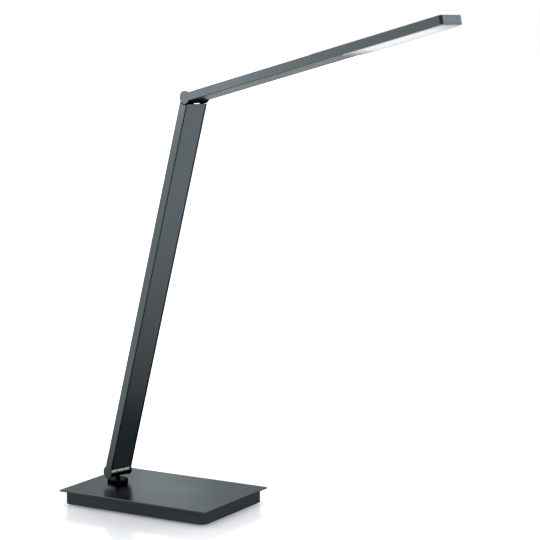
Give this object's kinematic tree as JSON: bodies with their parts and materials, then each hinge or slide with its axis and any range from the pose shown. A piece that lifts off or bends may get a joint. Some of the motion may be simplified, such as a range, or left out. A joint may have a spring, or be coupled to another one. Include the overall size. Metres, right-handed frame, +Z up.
{
  "type": "folding desk lamp",
  "caption": "Folding desk lamp: flat weighted base, swivel foot, slim channel arms joined by barrel hinges, and an LED strip light under the end of the upper arm.",
  "frame": {"origin": "centre of the base's underside, on the desk", "axes": "+Z up; +X along the base's long side, towards the end the upper arm reaches over; +Y to the back of the base. The rest pose is the pictured one, with the arms turned 15 degrees from +X towards -Y"},
  "size_m": [0.5777, 0.235, 0.6157],
  "materials": {
    "base_paint": "semi-gloss anthracite powder coat",
    "frame_paint": "satin black-grey paint",
    "hinge_black": "gloss black paint over steel",
    "arm_paint": "semi-gloss anthracite paint on aluminium",
    "hinge_steel": "fine turned steel, nickel plated",
    "dark_steel": "blackened steel",
    "zinc": "zinc plated",
    "iron": "raw casting",
    "rubber": "matt",
    "black_plastic": "moulded, fine grain",
    "white_plastic": "moulded, matt white",
    "opal": "opal diffuser sheet",
    "white_rim": "gloss white",
    "pcb": "solder mask",
    "led": "phosphor",
    "led_board": "white solder mask on aluminium",
    "button_metal": "fine turned",
    "wire": "insulation",
    "driver_parts": "wound and canned components"
  },
  "bodies": {
    "base": {"base_plate": "base_paint", "plate_nuts": "zinc", "plinth_frame": "frame_paint", "ballast_weight": "iron", "ballast_screws": "zinc", "bottom_cover": "frame_paint", "cover_screws": "zinc", "antislip_pad": "rubber", "board_spacers": "white_plastic", "driver_board": "pcb", "driver_parts": "driver_parts", "terminal_block": "white_plastic", "cable_gland": "rubber", "gland_nut": "black_plastic", "swivel_bush": "black_plastic", "thrust_washer": "white_plastic", "stop_pin": "zinc", "base_wire": "wire"},
    "swivel": {"swivel_head": "hinge_black", "swivel_post": "hinge_steel", "grub_screw": "dark_steel", "stop_washer": "zinc", "spring_washers": "zinc", "swivel_nut": "zinc", "lower_core": "hinge_steel", "lower_pin": "hinge_steel", "lower_washers": "black_plastic", "lower_nut": "zinc", "swivel_wire": "wire"},
    "lower_arm": {"lower_channel": "arm_paint", "lower_cover": "arm_paint", "lower_clips": "black_plastic", "lower_bracket": "hinge_steel", "lower_screws": "zinc", "lower_wire": "wire", "elbow_cradle": "hinge_black", "cradle_screws": "zinc", "elbow_core": "dark_steel", "elbow_pin": "hinge_steel", "elbow_washers": "black_plastic", "elbow_nut": "zinc"},
    "upper_arm": {"upper_channel": "arm_paint", "upper_cover": "arm_paint", "upper_clips": "black_plastic", "elbow_bracket": "dark_steel", "bracket_screws": "zinc", "upper_wire": "wire", "led_board": "led_board", "led_chips": "led", "led_screws": "zinc", "reflector": "white_plastic", "diffuser_frame": "white_rim", "diffuser_panel": "opal", "switch_board": "pcb", "switch_spacers": "white_plastic", "switch_body": "black_plastic"},
    "button": {"switch_button": "button_metal", "switch_plunger": "black_plastic"}
  },
  "joints": [
    {"name": "base_swivel", "type": "hinge", "parent": "base", "child": "swivel", "pos_m": [-0.071, 0, 0.02], "axis": [0, 0, 1], "range_deg": [-75, 105]},
    {"name": "lower_hinge", "type": "hinge", "parent": "swivel", "child": "lower_arm", "pos_m": [-0.071, 0, 0.035], "axis": [0.2588, 0.9659, 0], "range_deg": [-30, 70]},
    {"name": "elbow_hinge", "type": "hinge", "parent": "lower_arm", "child": "upper_arm", "pos_m": [0.07574, -0.03932, 0.51975], "axis": [0.2588, 0.9659, 0], "range_deg": [-60, 41]},
    {"name": "switch_press", "type": "slide", "parent": "upper_arm", "child": "button", "axis": [0.214, -0.0573, -0.9751], "range_m": [0, 0.0006], "stiffness_N_per_m": 900}
  ]
}
